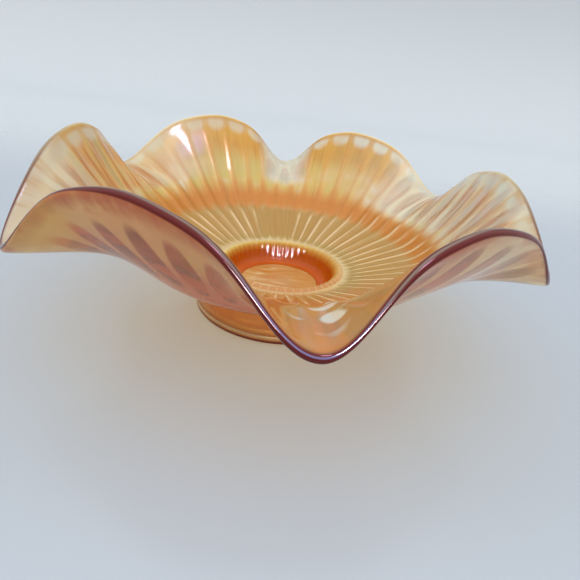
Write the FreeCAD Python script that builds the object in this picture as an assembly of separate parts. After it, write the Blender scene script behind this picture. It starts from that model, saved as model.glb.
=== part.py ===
"""Ruffled carnival glass bowl on a low collar foot.

The bowl was pressed in one go and its rim was crimped by hand afterwards, so it is one piece of glass.
It is drawn here as the three forms that the press and the crimping gave it:
    collar_foot   the plain ring that it stands on
    well          the thick round base with its flat disc and its ribbed step
    ruffled_bowl  the rayed floor, the fluted wall and the wavy rim
All sizes are in millimetres and all angles in degrees. The foot's middle is the origin, on the table,
and +Z is up. Azimuths run anticlockwise from +X.
"""

import math
import os

import FreeCAD, Part

# Collar foot
FOOT_RADIUS = 42.0
FOOT_TOP_RADIUS = 41.3
FOOT_RING_WIDTH = 7.0
FOOT_EDGE_ROUND = 1.5
FOOT_COVE_RADIUS = 4.0
FOOT_COVE_START = 15.5
FOOT_COVE_SWEEP = 55.0
RECESS_HEIGHT = 4.5
RECESS_ROUND = 1.0

# The well meets the rayed floor on a cylinder of this radius, at the crest of the scalloped shoulder
SHOULDER_RADIUS = 32.0
SHOULDER_HEIGHT = 21.9

# Flat disc in the middle of the well
DISC_RADIUS = 19.5
DISC_HEIGHT = 12.4

# Ledge, step and shoulder of the well, from the disc outwards: radius, height, depth of the scallops
WELL_STEPS = [
    (20.2, 12.4, 0.0),
    (21.6, 12.7, 0.0),
    (23.4, 13.3, 0.0),
    (24.9, 14.5, 0.05),
    (25.9, 16.8, 0.12),
    (26.9, 19.6, 0.2),
    (28.1, 22.0, 0.3),
    (29.6, 23.0, 0.35),
    (30.9, 22.7, 0.2),
]

# Rayed floor: a shallow cone, seen from above
FLOOR_START = (36.0, 22.5)
FLOOR_END = (62.0, 31.3)
FLOOR_ROWS = 6
UNDERSIDE_START_HEIGHT = 16.4
UNDERSIDE_END = (61.0, 26.2)

# The bend where the floor turns up into the wall
BEND_END = (69.5, 36.0)
BEND_ANGLE = 45.0

# Wall: one smooth curve from the bend to the rim, in each upright section
WALL_ROWS = 12
WALL_START_PULL = 0.30
WALL_END_PULL = 0.40
VALLEY_RIM_ANGLE = 8.0
PEAK_RIM_ANGLE = 64.0
RIM_THICKNESS = 3.6
RIM_BEAD_STEPS = 4

# The crimped rim: azimuth, radius and height of its middle line at each valley and at each peak
VALLEYS = [
    (-29.0, 112.5, 50.5),
    (33.5, 106.0, 51.5),
    (92.5, 113.5, 51.0),
    (152.5, 111.5, 50.0),
    (213.0, 115.0, 43.5),
    (276.3, 114.0, 46.8),
]
PEAKS = [
    (1.5, 97.6, 76.5),
    (67.5, 103.5, 77.5),
    (119.0, 103.5, 78.5),
    (177.5, 99.0, 76.0),
    (245.5, 102.0, 75.2),
    (301.5, 105.5, 75.7),
]

# Rays pressed into the inside: ribs on the floor, flutes on the wall, none on the last of the rim
RAY_COUNT = 52
RAY_AZIMUTH = 6.0
FLOOR_RAY_HEIGHT = 0.35
WALL_FLUTE_HEIGHT = 0.4
FLUTE_END = 0.94
FLUTE_FADE = 0.10
COLUMNS_PER_RAY = 6

# Crimping crowded the flutes together in the valleys and spread them on the peaks, by this share
CRIMP_CROWDING = 0.15

COLUMNS = RAY_COUNT * COLUMNS_PER_RAY


def point(radius, height, azimuth):
    """A point given by its distance from the axis, its height and its azimuth."""
    angle = math.radians(azimuth)
    return FreeCAD.Vector(radius * math.cos(angle), radius * math.sin(angle), height)


def smooth_step(start, end, value):
    """0 below start, 1 above end and a soft change between them."""
    share = min(1.0, max(0.0, (value - start) / (end - start)))
    return share * share * (3.0 - 2.0 * share)


def ray_wave(azimuth):
    """1 on the crest of a ray, -1 in the groove between two rays."""
    return math.cos(math.radians(RAY_COUNT * (azimuth - RAY_AZIMUTH)))


def rise(share):
    """How far up the rim has climbed, a given share of the way from a valley to the next peak.

    The valleys are narrow and the peaks are broad, so three waves are added together.
    """
    turn = math.pi * share
    climb = 13.4 * (1.0 - math.cos(turn))
    climb += 3.6 * (1.0 - math.cos(2.0 * turn))
    climb += 0.9 * (1.0 - math.cos(3.0 * turn))
    return climb / 28.6


def lobe_at(azimuth):
    """The nearest valley and peak at an azimuth, and the share of the way from the valley to the peak."""
    first = VALLEYS[0]
    azimuth = (azimuth - first[0]) % 360.0 + first[0]
    lobes = list(zip(VALLEYS, PEAKS, VALLEYS[1:] + [(first[0] + 360.0, first[1], first[2])]))
    for valley, peak, next_valley in lobes:
        if azimuth <= next_valley[0]:
            break
    low = valley if azimuth <= peak[0] else next_valley
    return low, peak, (azimuth - low[0]) / (peak[0] - low[0])


def rim_at(azimuth):
    """Radius and height of the rim's middle line, and how much of a peak it is there, from 0 to 1."""
    low, peak, share = lobe_at(azimuth)
    peakness = rise(share)
    radius = low[1] + (peak[1] - low[1]) * peakness
    height = low[2] + (peak[2] - low[2]) * peakness
    return radius, height, peakness


def flute_wave(azimuth, reach):
    """The ray wave on the crimped wall. reach is 0 at the bend and 1 at the rim."""
    low, peak, share = lobe_at(azimuth)
    crowding = CRIMP_CROWDING * reach * math.sin(math.pi * share) / math.pi
    return ray_wave(low[0] + (peak[0] - low[0]) * (share + crowding))


def bezier(corners, share):
    """A point on the cubic curve with these four corners, and the curve's direction there."""
    rest = 1.0 - share
    weights = (rest**3, 3 * rest**2 * share, 3 * rest * share**2, share**3)
    slopes = (-(rest**2), rest**2 - 2 * rest * share, 2 * rest * share - share**2, share**2)
    place = [sum(w * c[i] for w, c in zip(weights, corners)) for i in (0, 1)]
    ahead = [sum(s * c[i] for s, c in zip(slopes, corners)) for i in (0, 1)]
    length = math.hypot(*ahead)
    return place, (ahead[0] / length, ahead[1] / length)


def wall_curve(azimuth):
    """The four corners of the inner wall's curve at an azimuth, from the bend to the rim."""
    radius, height, peakness = rim_at(azimuth)
    angle = math.radians(VALLEY_RIM_ANGLE + (PEAK_RIM_ANGLE - VALLEY_RIM_ANGLE) * peakness)
    half = RIM_THICKNESS / 2.0
    end = (radius - half * math.sin(angle), height + half * math.cos(angle))
    reach = math.hypot(end[0] - BEND_END[0], end[1] - BEND_END[1])
    start_pull = WALL_START_PULL * reach
    end_pull = WALL_END_PULL * reach
    bend = math.radians(BEND_ANGLE)
    after_bend = (BEND_END[0] + start_pull * math.cos(bend), BEND_END[1] + start_pull * math.sin(bend))
    before_rim = (end[0] - end_pull * math.cos(angle), end[1] - end_pull * math.sin(angle))
    return [BEND_END, after_bend, before_rim, end]


def floor_rows(azimuth):
    """Inner surface from the shoulder to the start of the bend, with its ribs."""
    rows = [point(SHOULDER_RADIUS, SHOULDER_HEIGHT, azimuth)]
    rows.append(point(34.0, 22.0, azimuth))
    for step in range(FLOOR_ROWS):
        share = step / (FLOOR_ROWS - 1.0)
        radius = FLOOR_START[0] + (FLOOR_END[0] - FLOOR_START[0]) * share
        height = FLOOR_START[1] + (FLOOR_END[1] - FLOOR_START[1]) * share
        height += FLOOR_RAY_HEIGHT * ray_wave(azimuth)
        rows.append(point(radius, height, azimuth))
    rows.append(point(66.0, 33.0 + FLOOR_RAY_HEIGHT * ray_wave(azimuth), azimuth))
    return rows


def wall_rows(azimuth):
    """Inner surface of the wall with its flutes, the rounded rim, and the smooth outside coming back."""
    corners = wall_curve(azimuth)
    inner = []
    outer = []
    for step in range(WALL_ROWS + 1):
        share = step / float(WALL_ROWS)
        (radius, height), (along_r, along_z) = bezier(corners, share)
        fade = 1.0 - smooth_step(FLUTE_END - FLUTE_FADE, FLUTE_END, share)
        flute = WALL_FLUTE_HEIGHT * flute_wave(azimuth, share) * fade
        inner.append(point(radius - flute * along_z, height + flute * along_r, azimuth))
        outer.append(point(radius + RIM_THICKNESS * along_z, height - RIM_THICKNESS * along_r, azimuth))
    return inner + rim_bead(azimuth) + outer[::-1]


def rim_bead(azimuth):
    """The half-round edge of the rim, from inside to outside."""
    radius, height, peakness = rim_at(azimuth)
    angle = VALLEY_RIM_ANGLE + (PEAK_RIM_ANGLE - VALLEY_RIM_ANGLE) * peakness
    bead = []
    for step in range(1, RIM_BEAD_STEPS):
        turn = math.radians(angle + 90.0 - 180.0 * step / RIM_BEAD_STEPS)
        reach = RIM_THICKNESS / 2.0 * 1.1
        bead.append(point(radius + reach * math.cos(turn), height + reach * math.sin(turn), azimuth))
    return bead


def underside_height(radius):
    """Height of the plain cone under the rayed floor."""
    slope = (UNDERSIDE_END[1] - UNDERSIDE_START_HEIGHT) / (UNDERSIDE_END[0] - SHOULDER_RADIUS)
    return UNDERSIDE_START_HEIGHT + slope * (radius - SHOULDER_RADIUS)


def underside_rows(azimuth):
    """Outer surface from the bend back to the cylinder where the well begins."""
    rows = [point(66.8, 28.6, azimuth)]
    for radius in (UNDERSIDE_END[0], 56.0, 51.0, 46.0, 41.0, 36.0, SHOULDER_RADIUS):
        rows.append(point(radius, underside_height(radius), azimuth))
    return rows


def round_surface(sections, degree):
    """A smooth surface all the way round, drawn through rows of control points, one list per azimuth."""
    around = len(sections)
    rows = len(sections[0])
    ends = [degree + 1] + [1] * (rows - degree - 1) + [degree + 1]
    surface = Part.BSplineSurface()
    surface.buildFromPolesMultsKnots(
        sections,
        [1] * (around + 1),
        ends,
        [float(i) for i in range(around + 1)],
        [float(i) for i in range(rows - degree + 1)],
        True,
        False,
        3,
        degree,
    )
    return surface.toShape()


def azimuths():
    """The azimuths of the control points, evenly spaced and in step with the rays."""
    return [RAY_AZIMUTH + 360.0 * i / COLUMNS for i in range(COLUMNS)]


def closed_solid(faces):
    """The solid inside a set of faces that meet at their edges."""
    shell = Part.makeShell(faces)
    shell.sewShape()
    solid = Part.makeSolid(shell)
    if solid.Volume < 0:
        solid.reverse()
    return solid


def make_ruffled_bowl():
    """Rayed floor, fluted wall and wavy rim, as one thin shell of glass."""
    sections = [floor_rows(a) + wall_rows(a) + underside_rows(a) for a in azimuths()]
    skin = round_surface(sections, 3)
    joint = round_surface([[section[0], section[-1]] for section in sections], 1)
    return closed_solid([skin, joint])


def make_well():
    """Thick base with a flat disc, a ledge and a ribbed step up to the shoulder."""
    top = []
    side = []
    for azimuth in azimuths():
        section = [point(DISC_RADIUS, DISC_HEIGHT, azimuth)]
        for radius, height, scallop in WELL_STEPS:
            section.append(point(radius + scallop * ray_wave(azimuth), height, azimuth))
        section.append(point(SHOULDER_RADIUS, SHOULDER_HEIGHT, azimuth))
        top.append(section)
        side.append([section[-1], point(SHOULDER_RADIUS, RECESS_HEIGHT, azimuth)])
    ribbed = round_surface(top, 3)
    wall = round_surface(side, 1)
    disc = flat_face(ribbed, DISC_HEIGHT)
    base = flat_face(wall, RECESS_HEIGHT)
    return closed_solid([ribbed, wall, disc, base])


def flat_face(face, height):
    """The level face that closes off a round face at its edge of the given height."""
    for edge in face.Edges:
        box = edge.BoundBox
        if abs(box.ZMin - height) < 0.001 and abs(box.ZMax - height) < 0.001:
            return Part.Face(Part.Wire([edge]))
    raise ValueError("no level edge at height %s" % height)


def make_collar_foot():
    """Plain ring under the bowl, hollow in the middle, with a rounded foot and a cove at its top."""

    def at(radius, height):
        return FreeCAD.Vector(radius, 0, height)

    def arc(centre, size, start, end):
        middle = (start + end) / 2.0
        spots = []
        for angle in (start, middle, end):
            turn = math.radians(angle)
            spots.append(at(centre[0] + size * math.cos(turn), centre[1] + size * math.sin(turn)))
        return Part.Arc(*spots).toShape()

    def line(start, end):
        return Part.makeLine(start, end)

    inner = FOOT_RADIUS - FOOT_RING_WIDTH
    edge = FOOT_EDGE_ROUND
    cove = (FOOT_TOP_RADIUS + FOOT_COVE_RADIUS, FOOT_COVE_START)
    cove_arc = arc(cove, FOOT_COVE_RADIUS, 180.0, 180.0 - FOOT_COVE_SWEEP)
    cove_end = cove_arc.Vertexes[-1].Point
    recess_arc = arc((inner - RECESS_ROUND, RECESS_HEIGHT - RECESS_ROUND), RECESS_ROUND, 90.0, 0.0)
    outline = [
        line(at(inner + edge, 0), at(FOOT_RADIUS - edge, 0)),
        arc((FOOT_RADIUS - edge, edge), edge, -90.0, 0.0),
        line(at(FOOT_RADIUS, edge), at(FOOT_TOP_RADIUS, FOOT_COVE_START)),
        cove_arc,
        line(cove_end, at(cove_end.x, underside_height(cove_end.x))),
        line(at(cove_end.x, underside_height(cove_end.x)), at(SHOULDER_RADIUS, UNDERSIDE_START_HEIGHT)),
        line(at(SHOULDER_RADIUS, UNDERSIDE_START_HEIGHT), at(SHOULDER_RADIUS, RECESS_HEIGHT)),
        line(at(SHOULDER_RADIUS, RECESS_HEIGHT), at(inner - RECESS_ROUND, RECESS_HEIGHT)),
        recess_arc,
        line(at(inner, RECESS_HEIGHT - RECESS_ROUND), at(inner, edge)),
        arc((inner + edge, edge), edge, 180.0, 270.0),
    ]
    section = Part.Face(Part.Wire(Part.__sortEdges__(outline)))
    return section.revolve(FreeCAD.Vector(0, 0, 0), FreeCAD.Vector(0, 0, 1), 360)


def main():
    os.makedirs("parts", exist_ok=True)
    pieces = {
        "collar_foot": make_collar_foot(),
        "well": make_well(),
        "ruffled_bowl": make_ruffled_bowl(),
    }
    for name, shape in pieces.items():
        print(name, "valid", shape.isValid(), "closed", shape.isClosed(), "cm3", round(shape.Volume / 1000, 1))
        shape.exportStep("parts/%s.step" % name)


main()
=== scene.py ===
"""Marigold carnival glass bowl with a ruffled rim, on a pale glossy table in soft daylight.

Three closed pieces of glass stand for the three CAD nodes. Where they touch they are one glass, so
those faces are clear. The glass is measured in millimetres and goes into Blender in metres. The table,
the lamps, the camera and the places of the painted patterns are in metres. Azimuths are in degrees,
anticlockwise from +X.
"""

import math
from types import SimpleNamespace

import bmesh
import bpy
import numpy as np
from mathutils import Matrix, Vector


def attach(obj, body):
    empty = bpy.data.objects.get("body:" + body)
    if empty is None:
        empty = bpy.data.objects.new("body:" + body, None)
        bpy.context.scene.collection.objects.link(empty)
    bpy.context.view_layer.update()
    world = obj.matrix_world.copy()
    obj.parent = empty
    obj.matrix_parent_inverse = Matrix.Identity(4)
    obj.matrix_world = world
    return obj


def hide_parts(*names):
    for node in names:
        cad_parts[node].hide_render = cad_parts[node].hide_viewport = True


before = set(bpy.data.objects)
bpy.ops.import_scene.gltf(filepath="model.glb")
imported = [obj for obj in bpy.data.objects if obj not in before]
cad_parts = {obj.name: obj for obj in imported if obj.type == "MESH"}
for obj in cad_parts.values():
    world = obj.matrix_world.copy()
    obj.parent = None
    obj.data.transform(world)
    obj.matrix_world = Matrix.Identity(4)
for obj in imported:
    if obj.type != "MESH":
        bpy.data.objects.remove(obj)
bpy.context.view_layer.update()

MM = 0.001

# Collar foot
FOOT_RADIUS = 42.0
FOOT_TOP_RADIUS = 41.3
FOOT_INSIDE_RADIUS = 35.0
FOOT_EDGE_ROUND = 1.5
COVE_RADIUS = 4.0
COVE_START = 15.5
COVE_SWEEP = 55.0
RECESS_HEIGHT = 4.5
RECESS_ROUND = 1.0
RECESS_ROUND_RINGS = 5
INNER_EDGE_RINGS = 6
OUTER_EDGE_RINGS = 8
FOOT_SIDE_RINGS = 9
COVE_RINGS = 8

# Well
SHOULDER_RADIUS = 32.0
SHOULDER_HEIGHT = 21.9
DISC_RADIUS = 19.5
DISC_HEIGHT = 12.4
DISC_RING_RADII = (0.0, 5.0, 10.0, 15.0, 18.0)
BASE_RING_RADII = (SHOULDER_RADIUS, 16.0, 0.0)

# Radius, height and depth of the scallops on the way from the disc up to the shoulder
WELL_STEPS = [
    (20.2, 12.4, 0.0),
    (21.6, 12.7, 0.0),
    (23.4, 13.3, 0.0),
    (24.9, 14.5, 0.05),
    (25.9, 16.8, 0.12),
    (26.9, 19.6, 0.2),
    (28.1, 22.0, 0.3),
    (29.6, 23.0, 0.35),
    (30.9, 22.7, 0.2),
]

# Rayed floor, its underside and the bend up into the wall, as (radius, height)
FLOOR_LEAD_IN = (34.0, 22.0)
FLOOR_START = (36.0, 22.5)
FLOOR_END = (62.0, 31.3)
BEND_START = (66.0, 33.0)
BEND_END = (69.5, 36.0)
BEND_ANGLE = 45.0
FLOOR_ROWS = 8
UNDERSIDE_START_HEIGHT = 16.4
UNDERSIDE_END = (61.0, 26.2)
UNDERSIDE_BEND = (66.8, 28.6)
UNDERSIDE_RADII = (UNDERSIDE_END[0], 56.0, 51.0, 46.0)
UNDERSIDE_WIDTH = 35.0

# How far out a point is, which only the painted patterns use: -1 on the disc, 0 at the shoulder, 1 at
# the bend and 2 at the rim
DISC_REACH = -1.0
WELL_STEPS_REACH = (-0.9, -0.18)
FLOOR_LEAD_IN_REACH = 0.06
FLOOR_REACH = (0.12, 0.82)
BEND_START_REACH = 0.93
UNDERSIDE_BEND_REACH = 0.97

# Wall and rim
WALL_ROWS = 24
WALL_START_PULL = 0.30
WALL_END_PULL = 0.40
VALLEY_RIM_ANGLE = 8.0
PEAK_RIM_ANGLE = 64.0
RIM_THICKNESS = 3.6
RIM_BEAD_SWELL = 1.1
RIM_BEAD_TURNS = (45.0, 90.0, 135.0)

# The way from a valley up to a peak is a sum of waves: how many half turns each makes, and its size
RISE_WAVES = [(1, 13.4), (2, 3.6), (3, 0.9)]

# Azimuth, radius and height of each valley and peak of the rim
VALLEYS = [
    (-29.0, 112.5, 50.5),
    (33.5, 106.0, 51.5),
    (92.5, 113.5, 51.0),
    (152.5, 111.5, 50.0),
    (213.0, 115.0, 43.5),
    (276.3, 114.0, 46.8),
]
PEAKS = [
    (1.5, 97.6, 76.5),
    (67.5, 103.5, 77.5),
    (119.0, 103.5, 78.5),
    (177.5, 99.0, 76.0),
    (245.5, 102.0, 75.2),
    (301.5, 105.5, 75.7),
]

# How bare of colour the glass was left, from 0 to 1, at places around the rim: azimuth, share
BARE_PLACES = [
    (1.5, 0.8),
    (16.0, 0.85),
    (33.5, 0.9),
    (43.0, 0.8),
    (52.0, 0.2),
    (82.0, 0.0),
    (88.0, 1.0),
    (98.0, 1.0),
    (104.0, 0.0),
    (124.0, 0.1),
    (138.0, 0.5),
    (152.5, 0.5),
    (166.0, 0.1),
    (184.0, 0.15),
    (196.0, 0.9),
    (212.0, 0.9),
    (228.0, 0.1),
    (294.0, 0.1),
    (310.0, 0.9),
    (331.0, 1.0),
    (346.0, 0.9),
]

# Rays: sharp ridges with rounded hollows between them
RAY_COUNT = 52
RAY_AZIMUTH = 6.0
FLOOR_RAY_HEIGHT = 0.35
WALL_FLUTE_HEIGHT = 0.4
FLUTE_END = 0.90
FLUTE_FADE = 0.05
FLUTE_ROUND_END = 0.05
RIDGE_ROUND = 0.12

# Crimping crowded the flutes together in the valleys and spread them on the peaks, by this share
CRIMP_CROWDING = 0.15

# How finely the meshes are divided
COLUMNS_PER_RAY = 12
WALL_RINGS_PER_ROW = 3
WELL_RINGS_PER_ROW = 4
COLUMNS = RAY_COUNT * COLUMNS_PER_RAY
AZIMUTHS = RAY_AZIMUTH + 360.0 * np.arange(COLUMNS) / COLUMNS


# ---------------------------------------------------------------- shape


def smooth_step(start, end, value):
    """0 below start, 1 above end and a soft change between them."""
    share = np.clip((value - start) / (end - start), 0.0, 1.0)
    return share * share * (3.0 - 2.0 * share)


def ridge(azimuth):
    """1 on the sharp ridge between two hollows, -1 in the middle of a hollow."""
    swing = np.abs(np.sin(np.radians(RAY_COUNT / 2.0 * (azimuth - RAY_AZIMUTH))))
    return 1.0 - 2.0 * (np.hypot(swing, RIDGE_ROUND) - RIDGE_ROUND) / (1.0 - RIDGE_ROUND / 2.0)


def scallop(azimuth):
    """1 on the crest of a rounded scallop, -1 between two."""
    return np.cos(np.radians(RAY_COUNT * (azimuth - RAY_AZIMUTH)))


def rise(share):
    """How far up the rim has climbed, a given share of the way from a valley to a peak."""
    climb = sum(size * (1.0 - np.cos(turns * np.pi * share)) for turns, size in RISE_WAVES)
    top = sum(2.0 * size for turns, size in RISE_WAVES if turns % 2)
    return climb / top


def rim_line():
    """Radius, height, how far up towards a peak it is, and crowding in degrees, at every column."""
    first = VALLEYS[0][0]
    azimuth = (AZIMUTHS - first) % 360.0 + first
    radius, height, peakness, crowding = (np.zeros(COLUMNS) for _ in range(4))
    for i, (valley, peak) in enumerate(zip(VALLEYS, PEAKS)):
        after = VALLEYS[(i + 1) % len(VALLEYS)]
        after_azimuth = after[0] if after[0] > peak[0] else after[0] + 360.0
        sides = [
            (valley, valley[0], (azimuth >= valley[0]) & (azimuth <= peak[0])),
            (after, after_azimuth, (azimuth > peak[0]) & (azimuth < after_azimuth)),
        ]
        for low, low_azimuth, here in sides:
            share = (azimuth[here] - low_azimuth) / (peak[0] - low_azimuth)
            up = rise(share)
            crowding[here] = CRIMP_CROWDING * (peak[0] - low_azimuth) * np.sin(np.pi * share) / np.pi
            radius[here] = low[1] + (peak[1] - low[1]) * up
            height[here] = low[2] + (peak[2] - low[2]) * up
            peakness[here] = up
    return radius, height, peakness, crowding


RIM_RADIUS, RIM_HEIGHT, PEAKNESS, CROWDING = rim_line()
BARENESS = np.interp(AZIMUTHS, *np.transpose(BARE_PLACES), period=360.0)
RIM_ANGLE = np.radians(VALLEY_RIM_ANGLE + (PEAK_RIM_ANGLE - VALLEY_RIM_ANGLE) * PEAKNESS)


def wall_corners():
    """The four corners of the inner wall's curve at every column."""
    half = RIM_THICKNESS / 2.0
    end = np.array([RIM_RADIUS - half * np.sin(RIM_ANGLE), RIM_HEIGHT + half * np.cos(RIM_ANGLE)])
    start = np.array([np.full(COLUMNS, BEND_END[0]), np.full(COLUMNS, BEND_END[1])])
    reach = np.hypot(*(end - start))
    bend = math.radians(BEND_ANGLE)
    after_bend = start + WALL_START_PULL * reach * np.array([[math.cos(bend)], [math.sin(bend)]])
    before_rim = end - WALL_END_PULL * reach * np.array([np.cos(RIM_ANGLE), np.sin(RIM_ANGLE)])
    return [start, after_bend, before_rim, end]


def bezier(corners, share):
    """A point on the cubic curve at every column, and the curve's direction there."""
    rest = 1.0 - share
    weights = (rest**3, 3 * rest**2 * share, 3 * rest * share**2, share**3)
    slopes = (-(rest**2), rest**2 - 2 * rest * share, 2 * rest * share - share**2, share**2)
    place = sum(w * c for w, c in zip(weights, corners))
    ahead = sum(s * c for s, c in zip(slopes, corners))
    return place, ahead / np.hypot(*ahead)


def row(radius, height, reach, inside):
    """One ring of control points: radius, height, how far out it is, and 1 inside or 0 outside."""
    values = (radius, height, reach, inside)
    return np.array([np.broadcast_to(np.asarray(value, float), (COLUMNS,)) for value in values])


def floor_rows():
    """Inner surface from the shoulder to the start of the bend."""
    rows = [row(SHOULDER_RADIUS, SHOULDER_HEIGHT, 0, 1), row(*FLOOR_LEAD_IN, FLOOR_LEAD_IN_REACH, 1)]
    ray = FLOOR_RAY_HEIGHT * ridge(AZIMUTHS)
    across = np.linspace(FLOOR_START, FLOOR_END, FLOOR_ROWS)
    for (radius, height), reach in zip(across, np.linspace(*FLOOR_REACH, FLOOR_ROWS)):
        rows.append(row(radius, height + ray, reach, 1))
    rows.append(row(BEND_START[0], BEND_START[1] + ray, BEND_START_REACH, 1))
    return rows


def wall_rows():
    """Inner wall with its flutes, the rounded rim, and the smooth outside coming back down."""
    corners = wall_corners()
    inner = []
    outer = []
    for share in np.linspace(0.0, 1.0, WALL_ROWS + 1):
        (radius, height), (along_r, along_z) = bezier(corners, share)
        wave = ridge(AZIMUTHS + CROWDING * share)
        flute_end = FLUTE_END + FLUTE_ROUND_END * (1.0 - wave) / 2.0
        flute = WALL_FLUTE_HEIGHT * wave * (1.0 - smooth_step(flute_end - FLUTE_FADE, flute_end, share))
        inner.append(row(radius - flute * along_z, height + flute * along_r, 1 + share, 1))
        outside_radius = radius + RIM_THICKNESS * along_z
        outside_height = height - RIM_THICKNESS * along_r
        outer.append(row(outside_radius, outside_height, 1 + share, 0))
    bead = []
    size = RIM_THICKNESS / 2.0 * RIM_BEAD_SWELL
    for turn in RIM_BEAD_TURNS:
        angle = RIM_ANGLE + math.pi / 2.0 - math.radians(turn)
        radius = RIM_RADIUS + size * np.cos(angle)
        height = RIM_HEIGHT + size * np.sin(angle)
        bead.append(row(radius, height, 2, 1 - turn / 180.0))
    return inner + bead + outer[::-1]


def underside_height(radius):
    """Height of the plain cone under the rayed floor."""
    slope = (UNDERSIDE_END[1] - UNDERSIDE_START_HEIGHT) / (UNDERSIDE_END[0] - SHOULDER_RADIUS)
    return UNDERSIDE_START_HEIGHT + slope * (radius - SHOULDER_RADIUS)


def underside_row(radius):
    """A ring of the cone under the rayed floor."""
    reach = (radius - SHOULDER_RADIUS) / UNDERSIDE_WIDTH
    return row(radius, underside_height(radius), reach, 0)


def spline(rows, per_row):
    """Many rings on the smooth surface that the rings of control points pull into shape."""
    count = len(rows)
    knots = np.concatenate([np.zeros(3), np.arange(count - 2), np.full(3, count - 3.0)])
    spots = np.linspace(0.0, count - 3.0, (count - 3) * per_row + 1)
    spots[-1] -= 1e-9
    basis = ((spots[:, None] >= knots[:-1]) & (spots[:, None] < knots[1:])).astype(float)
    for degree in (1, 2, 3):
        low = knots[: -degree - 1]
        high = knots[degree + 1:]
        rise_span = np.maximum(knots[degree:-1] - low, 1e-12)
        fall_span = np.maximum(high - knots[1:-degree], 1e-12)
        climb = (spots[:, None] - low) / rise_span * basis[:, :-1]
        fall = (high - spots[:, None]) / fall_span * basis[:, 1:]
        basis = climb + fall
    return list(np.einsum("sc,cvn->svn", basis, np.array(rows)))


def arc_rows(centre, size, start, end, count):
    """Rings along a round corner of the foot's section."""
    rows = []
    for turn in np.radians(np.linspace(start, end, count)):
        rows.append(row(centre[0] + size * math.cos(turn), centre[1] + size * math.sin(turn), 0, 0))
    return rows


def cove_end():
    """Radius and height where the foot's cove meets the underside."""
    turn = math.radians(180.0 - COVE_SWEEP)
    radius = FOOT_TOP_RADIUS + COVE_RADIUS + COVE_RADIUS * math.cos(turn)
    return radius, COVE_START + COVE_RADIUS * math.sin(turn)


def mesh_from_rings(name, rings, joint_rings, materials):
    """A closed mesh through rings of points.

    The bands after the rings in joint_rings touch other glass, and get the second material.
    """
    rings = np.array(rings)
    turn = np.radians(AZIMUTHS)
    radius, height = rings[:, 0], rings[:, 1]
    places = np.stack([radius * np.cos(turn), radius * np.sin(turn), height], axis=2) * MM
    count = len(rings)
    faces = []
    slots = []
    for i in range(count):
        below = i * COLUMNS
        above = (i + 1) % count * COLUMNS
        for j in range(COLUMNS):
            k = (j + 1) % COLUMNS
            faces.append((below + j, above + j, above + k, below + k))
            slots.append(1 if i in joint_rings else 0)
    mesh = bpy.data.meshes.new(name)
    mesh.from_pydata(places.reshape(-1, 3).tolist(), [], faces)
    mesh.polygons.foreach_set("use_smooth", [True] * len(faces))
    mesh.polygons.foreach_set("material_index", slots)
    channels = {
        "reach": rings[:, 2],
        "inside": rings[:, 3],
        "ridge": ridge(AZIMUTHS + CROWDING * np.clip(rings[:, 2] - 1.0, 0.0, 1.0)),
        "bareness": np.broadcast_to(BARENESS, rings[:, 2].shape),
    }
    for key, values in channels.items():
        layer = mesh.attributes.new(key, "FLOAT", "POINT")
        layer.data.foreach_set("value", np.ascontiguousarray(values, np.float32).ravel())
    for material in materials:
        mesh.materials.append(material)
    close_and_sharpen(mesh)
    piece = bpy.data.objects.new(name, mesh)
    bpy.context.scene.collection.objects.link(piece)
    return piece


def close_and_sharpen(mesh):
    """Joins the points at the poles, and makes the edges of the hidden joint faces sharp."""
    work = bmesh.new()
    work.from_mesh(mesh)
    bmesh.ops.remove_doubles(work, verts=work.verts, dist=1e-7)
    bmesh.ops.recalc_face_normals(work, faces=work.faces)
    for edge in work.edges:
        kinds = {face.material_index for face in edge.link_faces}
        edge.smooth = len(kinds) == 1
    work.to_mesh(mesh)
    work.free()


def make_ruffled_bowl(materials):
    """Rayed floor, fluted wall and wavy rim."""
    down = [row(*UNDERSIDE_BEND, UNDERSIDE_BEND_REACH, 0)]
    down += [underside_row(radius) for radius in UNDERSIDE_RADII]
    rings = spline(floor_rows() + wall_rows() + down, WALL_RINGS_PER_ROW)
    visible = len(rings)
    rings += [underside_row(cove_end()[0]), underside_row(SHOULDER_RADIUS)]
    joint_rings = {visible, visible + 1}
    return mesh_from_rings("bowl_ruffled_wall", rings, joint_rings, materials)


def make_well(materials):
    """Thick base with a flat disc, a ledge and a ribbed step up to the shoulder."""
    disc = [row(radius, DISC_HEIGHT, DISC_REACH, 1) for radius in DISC_RING_RADII]
    step = [row(DISC_RADIUS, DISC_HEIGHT, DISC_REACH, 1)]
    reaches = np.linspace(*WELL_STEPS_REACH, len(WELL_STEPS))
    for (radius, height, depth), reach in zip(WELL_STEPS, reaches):
        step.append(row(radius + depth * scallop(AZIMUTHS), height, reach, 1))
    step.append(row(SHOULDER_RADIUS, SHOULDER_HEIGHT, 0, 1))
    base = [row(radius, RECESS_HEIGHT, DISC_REACH, 0) for radius in BASE_RING_RADII]
    top = disc + spline(step, WELL_RINGS_PER_ROW)
    return mesh_from_rings("bowl_well", top + base, {len(top) - 1}, materials)


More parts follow.
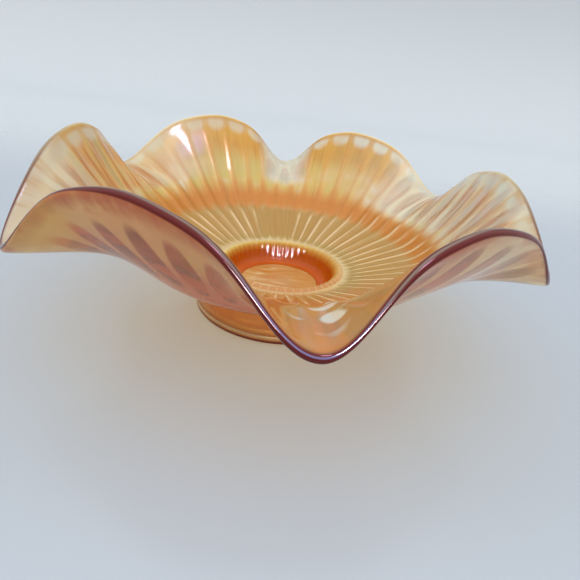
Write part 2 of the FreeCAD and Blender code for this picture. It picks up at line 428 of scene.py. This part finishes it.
def make_collar_foot(materials):
    """Plain ring with a rounded lower edge and a cove at its top."""
    inner = FOOT_INSIDE_RADIUS
    edge = FOOT_EDGE_ROUND
    cove = (FOOT_TOP_RADIUS + COVE_RADIUS, COVE_START)
    cove_radius = cove_end()[0]
    rings = [row(SHOULDER_RADIUS, RECESS_HEIGHT, 0, 0)]
    recess_corner = (inner - RECESS_ROUND, RECESS_HEIGHT - RECESS_ROUND)
    rings += arc_rows(recess_corner, RECESS_ROUND, 90.0, 0.0, RECESS_ROUND_RINGS)
    rings += arc_rows((inner + edge, edge), edge, 180.0, 270.0, INNER_EDGE_RINGS)
    rings += arc_rows((FOOT_RADIUS - edge, edge), edge, -90.0, 0.0, OUTER_EDGE_RINGS)
    for share in np.linspace(0.0, 1.0, FOOT_SIDE_RINGS + 2)[1:-1]:
        radius = FOOT_RADIUS + (FOOT_TOP_RADIUS - FOOT_RADIUS) * share
        rings.append(row(radius, edge + (COVE_START - edge) * share, 0, 0))
    rings += arc_rows(cove, COVE_RADIUS, 180.0, 180.0 - COVE_SWEEP, COVE_RINGS)
    rings.append(row(cove_radius, underside_height(cove_radius), 0, 0))
    visible = len(rings)
    rings.append(row(SHOULDER_RADIUS, UNDERSIDE_START_HEIGHT, 0, 0))
    return mesh_from_rings("bowl_collar_foot", rings, {visible - 1, visible}, materials)


# ---------------------------------------------------------------- materials


def colour(red, green, blue):
    """A colour given as it looks on screen, from 0 to 255, as the light values that Blender takes."""
    parts = [c / 255.0 for c in (red, green, blue)]
    return tuple(p / 12.92 if p <= 0.04045 else ((p + 0.055) / 1.055) ** 2.4 for p in parts) + (1.0,)


DEEP_ORANGE = colour(190, 82, 10)
MARIGOLD = colour(204, 136, 40)
BURNT_GOLD = colour(200, 122, 30)
GOLD = colour(216, 164, 56)
STRAW = colour(220, 188, 98)
OCHRE = colour(172, 122, 40)
ORANGE_TAN = colour(200, 126, 56)
YELLOW_GREEN = colour(218, 206, 116)
KHAKI_GOLD = colour(186, 158, 86)
CREAM = colour(234, 214, 160)
MILKY = colour(242, 240, 216)
CREAM_WHITE = colour(248, 236, 198)
MIST = colour(226, 236, 222)
PEACH = colour(206, 150, 92)
APRICOT = colour(232, 172, 92)
ROSE_BROWN = colour(218, 112, 74)
PINK_BROWN = colour(208, 90, 46)
MAUVE = colour(142, 68, 48)
RED_BROWN = colour(98, 16, 8)
GREY_BROWN = colour(132, 112, 98)
LAVENDER = colour(126, 116, 158)
LILAC = colour(236, 206, 232)
AMBER = colour(204, 140, 76)
# Table grey near the bowl, and the paler grey of painted light further back
NEAR_TABLE = colour(180, 187, 194)
FAR_TABLE = colour(208, 212, 214)
WARM_SHADOW = colour(246, 226, 196)
AMBER_SHADOW = colour(246, 222, 180)

GLASS_IOR = 1.5
LUSTRE_IOR = 1.42
LUSTRE_THICKNESS = (300.0, 560.0)  # thinnest and thickest, in nanometres

# Where a part of the pattern starts and where it is full, in metres: across is X and depth is Y
FRONT = (-0.01, -0.06)
FRONT_OUTSIDE = (0.0, -0.05)
FRONT_RIM = (0.03, -0.05)
FRONT_VALLEY_RIM = (-0.106, -0.112)
LEFT_RIM = (-0.04, -0.065)
LEFT_OUTSIDE = (-0.055, -0.085)
RIGHT = (0.02, 0.05)
FAR_FROM_MIDDLE = (0.055, 0.08)
NOT_AT_THE_BACK = (0.066, 0.042)


class Tree:
    """A node tree that is built by short calls."""

    def __init__(self, owner):
        owner.use_nodes = True
        self.tree = owner.node_tree
        self.tree.nodes.clear()

    def add(self, kind, inputs=None, **settings):
        made = self.tree.nodes.new("ShaderNode" + kind)
        for key, value in settings.items():
            setattr(made, key, value)
        for key, value in (inputs or {}).items():
            self.feed(made.inputs[key], value)
        return made

    def feed(self, socket, value):
        if isinstance(value, bpy.types.NodeSocket):
            self.tree.links.new(value, socket)
        else:
            socket.default_value = value

    def attribute(self, name):
        return self.add("Attribute", attribute_name=name).outputs["Fac"]

    def math(self, operation, first, second=0.0):
        return self.add("Math", {0: first, 1: second}, operation=operation).outputs[0]

    def plus(self, first, second):
        return self.math("ADD", first, second)

    def times(self, first, *others):
        """All the values multiplied together."""
        for other in others:
            first = self.math("MULTIPLY", first, other)
        return first

    def opposite(self, share):
        """1 less share."""
        return self.math("SUBTRACT", 1.0, share)

    def swing(self, noise, size):
        """Noise turned into a number around 0, which moves a boundary by up to half of size."""
        return self.times(self.math("SUBTRACT", noise, 0.5), size)

    def step(self, value, start, end):
        """0 at start, 1 at end, with a soft change between them. start may be above end."""
        inputs = {"Value": value, "From Min": start, "From Max": end}
        return self.add("MapRange", inputs, interpolation_type="SMOOTHSTEP").outputs[0]

    def between(self, value, start, end, soft):
        """1 between start and end, fading to 0 over soft on either side."""
        up = self.step(value, start - soft, start + soft)
        down = self.step(value, end + soft, end - soft)
        return self.times(up, down)

    def mix(self, share, first, second):
        made = self.add("Mix", {0: share, 6: first, 7: second}, data_type="RGBA")
        return made.outputs[2]

    def paint(self, base, tint, *shares):
        """tint laid over base, as thickly as the shares multiplied together."""
        return self.mix(self.times(*shares), base, tint)

    def blend(self, share, first, second):
        """The same as mix, for plain numbers."""
        return self.add("Mix", {0: share, 2: first, 3: second}).outputs[0]

    def ramp(self, value, stops):
        """A colour that changes along value, through stops of (value, colour)."""
        made = self.add("ValToRGB", {0: value})
        points = made.color_ramp.elements
        while len(points) < len(stops):
            points.new(0.5)
        for point, (place, tint) in zip(points, stops):
            point.position = place
            point.color = tint
        return made.outputs[0]

    def noise(self, vector, scale, detail=3.0, distortion=0.0):
        inputs = {"Vector": vector, "Scale": scale, "Detail": detail, "Distortion": distortion}
        return self.add("TexNoise", inputs).outputs[0]

    def around_and_out(self, around, out):
        """A place to read noise at, stretched along the rays.

        It is the direction from the axis times around, and reach times out.
        """
        flat = self.stretched((1.0, 1.0, 0.0))
        unit = self.add("VectorMath", {0: flat}, operation="NORMALIZE").outputs[0]
        turned = self.add("VectorMath", {0: unit, "Scale": around}, operation="SCALE").outputs[0]
        parts = self.add("SeparateXYZ", {0: turned})
        far = self.times(self.attribute("reach"), out)
        return self.add("CombineXYZ", {0: parts.outputs[0], 1: parts.outputs[1], 2: far}).outputs[0]

    def stretched(self, scales):
        """The place with each of its three coordinates multiplied by its own scale."""
        return self.add("VectorMath", {0: self.position(), 1: scales}, operation="MULTIPLY").outputs[0]

    def position(self):
        return self.add("NewGeometry").outputs["Position"]

    def across(self):
        """How far to the right a point is, along +X, in metres."""
        return self.add("SeparateXYZ", {0: self.position()}).outputs[0]

    def depth(self):
        """How far back a point is, along +Y, in metres."""
        return self.add("SeparateXYZ", {0: self.position()}).outputs[1]

    def height(self):
        """How high a point is, along +Z, in metres."""
        return self.add("SeparateXYZ", {0: self.position()}).outputs[2]

    def finish(self, shader, output_kind="OutputMaterial"):
        output = self.add(output_kind)
        self.tree.links.new(shader, output.inputs["Surface"])


def start_material(name):
    """A new material, and the tree that its nodes go into."""
    material = bpy.data.materials.new(name)
    return material, Tree(material)


def finish_glass(tree, tint, settings):
    """Glass that lets lamp light and bounced light through, so that it throws a soft tinted shadow."""
    glass = tree.add("BsdfPrincipled", {"IOR": GLASS_IOR, **settings}).outputs[0]
    path = tree.add("LightPath")
    clear = tree.add("BsdfTransparent", {"Color": tint}).outputs[0]
    share = tree.math("MAXIMUM", path.outputs["Is Shadow Ray"], path.outputs["Is Diffuse Ray"])
    tree.finish(tree.add("MixShader", {0: share, 1: glass, 2: clear}).outputs[0])


def marigold_glass():
    """The sprayed inside and the plain outside of the bowl, clear where the spray was thin."""
    material, tree = start_material("marigold_glass")
    at = read_places(tree)
    bead = rim_bead(tree, at)
    painted = tree.mix(tree.step(at.inside, 0.4, 0.6), plain_outside(tree, at), sprayed_inside(tree, at))
    painted = tree.mix(bead, painted, rim_colour(tree, at))
    specks = tree.noise(tree.position(), 60.0, 4.0)
    lustre = tree.times(tree.step(at.inside, 0.9, 1.0), tree.step(at.reach, 1.5, 1.8))
    finish_glass(tree, WARM_SHADOW, {
        "Base Color": painted,
        "Metallic": tree.blend(at.bare, 0.06, 0.0),
        "Roughness": tree.blend(specks, 0.06, 0.16),
        "Transmission Weight": tree.times(tree.blend(at.bare, 0.3, 0.7), tree.opposite(bead)),
        "Specular IOR Level": tree.blend(bead, tree.blend(at.inside, 0.18, 0.4), 0.3),
        "Thin Film Thickness": tree.times(tree.blend(at.clouds, *LUSTRE_THICKNESS), lustre),
        "Thin Film IOR": LUSTRE_IOR,
    })
    return material


def read_places(tree):
    """What the pattern of the bowl is drawn by.

    reach is 0 at the shoulder, 1 at the bend and 2 at the rim, inside is 1 inside and 0 outside, and
    hollow is 1 in the middle of a hollow and 0 on a ridge. streaks and clouds are noise along the rays.
    """
    at = SimpleNamespace()
    at.reach = tree.attribute("reach")
    at.inside = tree.attribute("inside")
    at.hollow = tree.step(tree.attribute("ridge"), 1.0, -1.0)
    at.across = tree.across()
    at.depth = tree.depth()
    at.front = tree.step(at.depth, *FRONT)
    from_middle = tree.math("ABSOLUTE", at.across)
    at.side = tree.times(tree.step(from_middle, *FAR_FROM_MIDDLE), tree.step(at.depth, *NOT_AT_THE_BACK))
    at.streaks = tree.noise(tree.around_and_out(16.0, 1.2), 1.0)
    at.clouds = tree.noise(tree.around_and_out(3.0, 3.0), 1.0, 2.0, distortion=0.6)
    at.bare = bare_share(tree, at)
    return at


def bare_share(tree, at):
    """How bare of spray the wall is: not at all low down, and bare from lower down at the right."""
    start = tree.blend(tree.step(at.across, *RIGHT), 1.25, 1.1)
    full = tree.plus(start, 0.22)
    return tree.times(tree.step(at.reach, start, full), tree.attribute("bareness"))


def rim_bead(tree, at):
    """1 on the rounded edge of the rim, which reaches less far down the outside at the left."""
    start = tree.blend(tree.step(at.across, *LEFT_RIM), 0.08, 0.3)
    full = tree.plus(start, 0.12)
    return tree.times(tree.step(at.inside, start, full), tree.step(at.inside, 0.97, 0.73))


def rim_colour(tree, at):
    """Cream at the back, and dark red at the front with a painted reflection along it, a grey line that
    is a lavender highlight in the valley.
    """
    valley = tree.step(at.depth, *FRONT_VALLEY_RIM)
    # Painted reflection: a grey line along the bead, lavender in the front valley.
    line_start = tree.step(at.inside, tree.blend(valley, 0.46, 0.52), 0.6)
    line_end = tree.step(at.inside, tree.blend(valley, 0.74, 0.68), 0.62)
    reflection_colour = tree.mix(valley, GREY_BROWN, LAVENDER)
    dark = tree.paint(RED_BROWN, reflection_colour, line_start, line_end)
    return tree.mix(tree.step(at.depth, *FRONT_RIM), CREAM, dark)


def sprayed_inside(tree, at):
    """The inside, painted one layer over another."""
    uneven = tree.blend(tree.step(at.reach, 1.2, 1.6), 0.1, 0.4)
    sag = tree.swing(at.hollow, 0.03)
    spread = tree.plus(tree.plus(at.reach, tree.swing(at.streaks, uneven)), sag)
    base = spray_bands(tree, at, spread)
    base = paint_front_shade(tree, at, base)
    base = paint_pale_ovals(tree, at, base, spread)
    base = paint_front_reflections(tree, at, base)
    base = paint_side_streaks(tree, at, base)
    base = paint_lilac_highlight(tree, at, base)
    kept = tree.times(at.side, 0.6, tree.step(at.streaks, 0.45, 0.58))
    base = tree.paint(base, MILKY, at.bare, tree.opposite(kept))
    base = paint_ridge_lines(tree, at, base)
    base = paint_milky_scallops(tree, at, base)
    return paint_ray_highlights(tree, at, base)


def spray_bands(tree, at, spread):
    """Khaki floor, orange bend, and a wall that turns from straw to gold, with a fine grain along it.

    The colours run over half of reach, from 0 at the shoulder to 1 at the rim.
    """
    # The cream at the shoulder is partly a painted highlight.
    base = tree.ramp(tree.times(spread, 0.5), [
        (0.0, CREAM),
        (0.02, CREAM),
        (0.07, KHAKI_GOLD),
        (0.42, KHAKI_GOLD),
        (0.48, MARIGOLD),
        (0.54, MARIGOLD),
        (0.66, STRAW),
        (0.76, STRAW),
        (0.88, GOLD),
        (1.0, GOLD),
    ])
    upper_wall = tree.between(at.reach, 1.6, 1.85, 0.12)
    base = tree.paint(base, MARIGOLD, tree.step(at.clouds, 0.5, 0.7), upper_wall, 0.4)
    grain = tree.noise(tree.around_and_out(60.0, 0.6), 1.0)
    return tree.paint(base, OCHRE, tree.step(grain, 0.45, 0.7), 0.35)


def paint_front_shade(tree, at, base):
    """Painted shade: a deeper orange floor and brown-gold wall at the front, where the light falls
    through the glass.
    """
    wall = tree.mix(tree.step(at.streaks, 0.42, 0.56), OCHRE, BURNT_GOLD)
    tint = tree.mix(tree.step(at.reach, 1.05, 1.25), ORANGE_TAN, wall)
    return tree.paint(base, tint, at.front, 0.9)


def paint_pale_ovals(tree, at, base, spread):
    """Pale patches low on the wall, in the hollows, fainter at the front."""
    pale = tree.mix(tree.step(at.clouds, 0.5, 0.75), YELLOW_GREEN, MIST)
    patch = oval(tree, spread, tree.blend(at.hollow, 0.5, 1.0), 1.43, 0.28, 0.0)
    uneven = tree.step(at.streaks, 0.2, 0.7)
    return tree.paint(base, pale, patch, uneven, tree.blend(at.front, 1.0, 0.25), 0.7)


def paint_front_reflections(tree, at, base):
    """Painted reflections: bright spots in the front valley."""
    spots = tree.noise(tree.around_and_out(7.0, 5.0), 1.0, 1.0)
    up_the_wall = tree.between(at.reach, 1.2, 1.85, 0.08)
    in_the_valley = tree.between(at.across, 0.006, 0.032, 0.006)
    return tree.paint(base, MIST, tree.step(spots, 0.5, 0.58), up_the_wall, in_the_valley, at.front)


def paint_side_streaks(tree, at, base):
    """Khaki, straw and orange streaks on the walls at the left and the right."""
    tint = tree.ramp(at.streaks, [(0.38, KHAKI_GOLD), (0.46, STRAW), (0.52, APRICOT), (0.6, ORANGE_TAN)])
    return tree.paint(base, tint, at.side, tree.between(at.reach, 1.35, 1.92, 0.06), 0.75)


def paint_lilac_highlight(tree, at, base):
    """A painted lilac highlight high in two hollows of the back wall, at the left."""
    upper_wall = tree.between(at.reach, 1.62, 1.86, 0.08)
    at_the_back = tree.step(at.depth, 0.05, 0.07)
    to_the_left = tree.between(at.across, -0.07, -0.056, 0.005)
    in_hollows = tree.blend(tree.step(at.hollow, 0.2, 0.7), 0.2, 0.7)
    return tree.paint(base, LILAC, upper_wall, at_the_back, to_the_left, in_hollows)


def paint_ridge_lines(tree, at, base):
    """Burnt gold lines along the ridges of the wall, stronger at the sides."""
    on_ridges = tree.step(at.hollow, 0.4, 0.0)
    on_wall = tree.between(at.reach, 1.1, 1.85, 0.1)
    return tree.paint(base, BURNT_GOLD, on_ridges, on_wall, tree.blend(at.side, 0.2, 0.5))


def paint_milky_scallops(tree, at, base):
    """Milky tips of the hollows just under the rim, broken at the back and missing at the front, partly
    a painted reflection where their rounded ends catch the light.
    """
    sagging = tree.plus(at.reach, tree.times(at.hollow, 0.04))
    under_the_rim = tree.times(tree.step(sagging, 1.88, 1.96), tree.step(at.reach, 2.0, 1.96))
    thickness = tree.blend(tree.step(at.across, -0.01, 0.03), 0.55, 0.95)
    in_hollows = tree.blend(tree.step(at.hollow, 0.0, 0.6), 0.2, thickness)
    broken = tree.blend(at.front, tree.step(at.clouds, 0.3, 0.5), 0.0)
    return tree.paint(base, MIST, under_the_rim, in_hollows, broken)


def paint_ray_highlights(tree, at, base):
    """Painted highlights: cream lines along the ridges of the floor, longer at the right and left out in
    one place at the back.
    """
    end = tree.blend(tree.step(at.across, 0.02, 0.06), 0.88, 1.2)
    along = tree.times(tree.step(at.reach, 0.07, 0.23), tree.step(at.reach, end, tree.plus(end, -0.2)))
    on_ridges = tree.step(at.hollow, 0.3, 0.05)
    # The painted highlights are left out in this place at the back.
    no_highlight = tree.times(tree.between(at.across, -0.018, 0.004, 0.004), tree.step(at.depth, 0.02, 0.03))
    uneven = tree.step(at.streaks, 0.25, 0.6)
    return tree.paint(base, CREAM, on_ridges, along, uneven, tree.opposite(no_highlight))


def plain_outside(tree, at):
    """Pinkish glass with dark leaf shapes behind the flutes, a painted refraction of the flutes seen
    through the smooth outside, and golden at the left and near the rim.

    The colours run over half of reach, from 0 at the shoulder to 1 at the rim.
    """
    left = tree.step(at.across, *LEFT_OUTSIDE)
    place = tree.times(tree.plus(at.reach, tree.swing(at.streaks, 0.16)), 0.5)
    base = tree.ramp(place, [
        (0.0, PINK_BROWN),
        (0.47, PINK_BROWN),
        (0.55, ROSE_BROWN),
        (0.72, ROSE_BROWN),
        (0.86, APRICOT),
        (0.96, APRICOT),
        (1.0, DEEP_ORANGE),
    ])
    mottle = tree.noise(tree.position(), 45.0, 4.0, distortion=1.0)
    cloudy = tree.step(at.clouds, 0.4, 0.6)
    base = tree.paint(base, ROSE_BROWN, tree.step(mottle, 0.45, 0.65), 0.3)
    base = tree.paint(base, tree.mix(cloudy, BURNT_GOLD, STRAW), left, 0.7)
    cleared = tree.mix(tree.step(at.depth, *FRONT_OUTSIDE), MILKY, CREAM_WHITE)
    base = tree.paint(base, cleared, at.bare, tree.blend(left, 0.9, 0.4))
    flecks = tree.step(mottle, 0.48, 0.6)
    base = tree.paint(base, DEEP_ORANGE, flecks, tree.step(at.reach, 1.86, 1.96), 0.45)
    return tree.mix(leaf(tree, at, left), base, tree.mix(cloudy, MAUVE, PINK_BROWN))


def leaf(tree, at, left):
    """1 in the leaf shapes behind the hollows, a painted refraction of the flutes, higher at the right
    and faint at the left.
    """
    middle = tree.blend(tree.step(at.across, 0.0, 0.05), 1.5, 1.62)
    shape = oval(tree, at.reach, at.hollow, middle, 0.36, 0.65)
    strength = tree.blend(left, tree.blend(at.streaks, 0.7, 1.1), 0.35)
    return tree.times(shape, strength, tree.blend(at.bare, 1.0, 0.7))


def oval(tree, reach, hollow, middle, half_length, core):
    """1 in an oval that lies in each hollow, around a middle reach, fading out from its core."""
    along = tree.math("DIVIDE", tree.math("SUBTRACT", reach, middle), half_length)
    across = tree.times(tree.opposite(hollow), 1.1)
    return tree.step(tree.plus(tree.times(along, along), across), 1.15, core)


def well_glass():
    """Deep orange glass of the step, rippled peach on the disc with cream painted highlights, and cream
    on the shoulder, partly a painted highlight.

    The colours run over reach plus 1, from 0 on the disc to 1 at the shoulder.
    """
    material, tree = start_material("well_glass")
    reach = tree.attribute("reach")
    inner = tree.ramp(tree.plus(reach, 1.0), [
        (0.0, OCHRE),
        (0.02, OCHRE),
        (0.04, RED_BROWN),
        (0.07, DEEP_ORANGE),
        (0.52, DEEP_ORANGE),
        (0.61, MARIGOLD),
        (0.70, STRAW),
        (0.82, CREAM),
    ])
    ripples = tree.noise(tree.stretched((0.3, 1.0, 1.0)), 160.0, distortion=0.8)
    # The cream on the ripples is a painted highlight.
    disc_tint = tree.ramp(ripples, [(0.34, ORANGE_TAN), (0.54, PEACH), (0.72, CREAM)])
    inner = tree.paint(inner, disc_tint, tree.step(reach, -0.97, -0.995), 0.8)
    # Painted shade: the shoulder is duller at the right.
    right = tree.step(tree.across(), 0.008, 0.026)
    inner = tree.paint(inner, ORANGE_TAN, tree.step(reach, -0.45, -0.3), right, 0.4)
    # At the front the shoulder is peach with cream rays in place of the painted highlight.
    rays = tree.times(tree.step(tree.attribute("ridge"), 0.0, 0.9), 0.25)
    near_crest = tree.times(tree.step(reach, -0.4, -0.3), tree.step(tree.depth(), 0.0, -0.02))
    inner = tree.mix(near_crest, inner, tree.mix(rays, PEACH, CREAM))
    bump = tree.add("Bump", {"Height": ripples, "Strength": 0.25, "Distance": 0.0006}).outputs[0]
    finish_glass(tree, WARM_SHADOW, {
        "Base Color": inner,
        "Roughness": 0.06,
        "Specular IOR Level": 0.12,
        "Transmission Weight": 0.2,
        "Normal": bump,
    })
    return material


def amber_glass():
    """Clear amber glass of the foot, red along its lowest edge with a cream line above that, a painted
    highlight.
    """
    material, tree = start_material("amber_glass")
    clouds = tree.noise(tree.position(), 35.0, distortion=1.0)
    height = tree.height()
    tint = tree.mix(tree.step(clouds, 0.35, 0.65), AMBER, ORANGE_TAN)
    tint = tree.paint(tint, RED_BROWN, tree.step(height, 0.0024, 0.0016))
    # Painted highlight: the cream line on the rounded lower edge.
    tint = tree.paint(tint, CREAM, tree.between(height, 0.0028, 0.004, 0.0005))
    finish_glass(tree, AMBER_SHADOW, {
        "Base Color": tint,
        "Roughness": tree.blend(clouds, 0.2, 0.3),
        "Specular IOR Level": 0.2,
        "Transmission Weight": 0.6,
    })
    return material


def joined_glass():
    """Where two pieces touch they are one glass, so nothing shows there."""
    material, tree = start_material("joined_glass")
    tree.finish(tree.add("BsdfTransparent").outputs[0])
    return material


def pale_table():
    """Glossy near the bowl and dull further back, grey near the bowl and made paler further back by
    painted light.
    """
    material, tree = start_material("pale_table")
    gloss = tree.blend(tree.noise(tree.position(), 8.0), 0.2, 0.28)
    tree.finish(tree.add("BsdfPrincipled", {
        "Base Color": tree.mix(tree.step(tree.depth(), 0.1, 0.5), NEAR_TABLE, FAR_TABLE),
        "Roughness": tree.blend(tree.step(tree.depth(), 0.3, 0.9), gloss, 0.9),
        "Specular IOR Level": 0.6,
    }).outputs[0])
    return material


# ---------------------------------------------------------------- stage, light and camera


# Table and backdrop, in metres
TABLE_HALF_WIDTH = 3.0
TABLE_FRONT = -1.5
TABLE_BACK = 1.0
BACKDROP_BEND = 0.4
BACKDROP_BEND_STEPS = 12
BACKDROP_TOP = 2.5

# Name, place, target, width and height in metres, power in watts, and colour
WINDOWS = [
    ("side_window", (0.17, -0.6, 1.23), (0.0, 0.0, 0.05), (0.38, 0.36), 9.0, (0.84, 0.6, 1.0)),
    ("front_window", (-0.02, -1.3, 0.62), (0.0, 0.0, 0.02), (0.45, 0.35), 50.0, (0.94, 0.96, 1.0)),
]

# Daylight, from level with the table to overhead
LEVEL_LIGHT = (0.78, 0.77, 0.76, 1.0)
OVERHEAD_LIGHT = (0.86, 0.90, 0.96, 1.0)
LEVEL_STRENGTH = 0.92
OVERHEAD_STRENGTH = 1.72

# Camera: place in metres, turns in radians, focal length in millimetres
CAMERA_PLACE = (0.0, -0.19878, 0.10745)
CAMERA_TURN = 0.0322
CAMERA_TILT = 0.4669
CAMERA_ROLL = 0.1255
CAMERA_LENS = 26.18
CAMERA_CLIP_START = 0.01


def make_table():
    """A wide pale table that curves up into the backdrop."""
    bend = BACKDROP_BEND
    depth_and_height = [(TABLE_FRONT, 0.0), (TABLE_BACK, 0.0)]
    for turn in np.radians(np.linspace(0.0, 90.0, BACKDROP_BEND_STEPS + 1)[1:]):
        depth_and_height.append((TABLE_BACK + bend * math.sin(turn), bend - bend * math.cos(turn)))
    depth_and_height.append((TABLE_BACK + bend, BACKDROP_TOP))
    points = [(x, y, z) for y, z in depth_and_height for x in (-TABLE_HALF_WIDTH, TABLE_HALF_WIDTH)]
    faces = [(2 * i, 2 * i + 1, 2 * i + 3, 2 * i + 2) for i in range(len(depth_and_height) - 1)]
    mesh = bpy.data.meshes.new("table")
    mesh.from_pydata(points, [], faces)
    mesh.polygons.foreach_set("use_smooth", [True] * len(faces))
    mesh.materials.append(pale_table())
    table = bpy.data.objects.new("table", mesh)
    bpy.context.scene.collection.objects.link(table)


def make_window(name, place, target, size, power, tint, glass):
    """A bright rectangle that faces its target and shows only as glints in the pieces of glass."""
    light = bpy.data.lights.new(name, "AREA")
    light.shape = "RECTANGLE"
    light.size, light.size_y = size
    light.energy = power
    light.color = tint
    lamp = bpy.data.objects.new(name, light)
    lamp.location = place
    lamp.rotation_euler = (Vector(target) - Vector(place)).to_track_quat("-Z", "Y").to_euler()
    lamp.visible_diffuse = False
    lamp.visible_transmission = False
    lamp.light_linking.receiver_collection = glass
    bpy.context.scene.collection.objects.link(lamp)


def make_world():
    """Pale daylight from every side, a little bluer from above."""
    world = bpy.data.worlds.new("daylight")
    bpy.context.scene.world = world
    tree = Tree(world)
    up = tree.add("SeparateXYZ", {0: tree.add("TexCoord").outputs["Generated"]}).outputs[2]
    sky = tree.mix(tree.step(up, 0.0, 0.9), LEVEL_LIGHT, OVERHEAD_LIGHT)
    strength = tree.blend(tree.step(up, 0.1, 0.8), LEVEL_STRENGTH, OVERHEAD_STRENGTH)
    light = tree.add("Background", {"Color": sky, "Strength": strength}).outputs[0]
    tree.finish(light, "OutputWorld")


def make_camera():
    """Looks down at the bowl from close in front, held at a slight slant."""
    ahead = Vector((
        math.sin(CAMERA_TURN) * math.cos(CAMERA_TILT),
        math.cos(CAMERA_TURN) * math.cos(CAMERA_TILT),
        -math.sin(CAMERA_TILT),
    ))
    level = Vector((math.cos(CAMERA_TURN), -math.sin(CAMERA_TURN), 0.0))
    upright = level.cross(ahead)
    right = math.cos(CAMERA_ROLL) * level + math.sin(CAMERA_ROLL) * upright
    up = math.cos(CAMERA_ROLL) * upright - math.sin(CAMERA_ROLL) * level
    data = bpy.data.cameras.new("camera")
    data.lens = CAMERA_LENS
    data.clip_start = CAMERA_CLIP_START
    camera = bpy.data.objects.new("camera", data)
    turn = Matrix((right, up, -ahead)).transposed().to_4x4()
    camera.matrix_world = Matrix.Translation(CAMERA_PLACE) @ turn
    bpy.context.scene.collection.objects.link(camera)
    bpy.context.scene.camera = camera


def main():
    """Makes the three pieces of glass, then everything around them."""
    bpy.context.scene.view_settings.view_transform = "Standard"
    joint = joined_glass()
    marigold = marigold_glass()
    made = [
        (make_ruffled_bowl([marigold, joint]), "ruffled_bowl", "marigold_glass"),
        (make_well([well_glass(), joint]), "well", "marigold_glass"),
        (make_collar_foot([amber_glass(), joint]), "collar_foot", "amber_glass"),
    ]
    glass = bpy.data.collections.new("glass")
    for piece, node, slot in made:
        glass.objects.link(piece)
        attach(piece, "root")
        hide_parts(node)
    make_table()
    make_world()
    for window in WINDOWS:
        make_window(*window, glass)
    make_camera()


main()
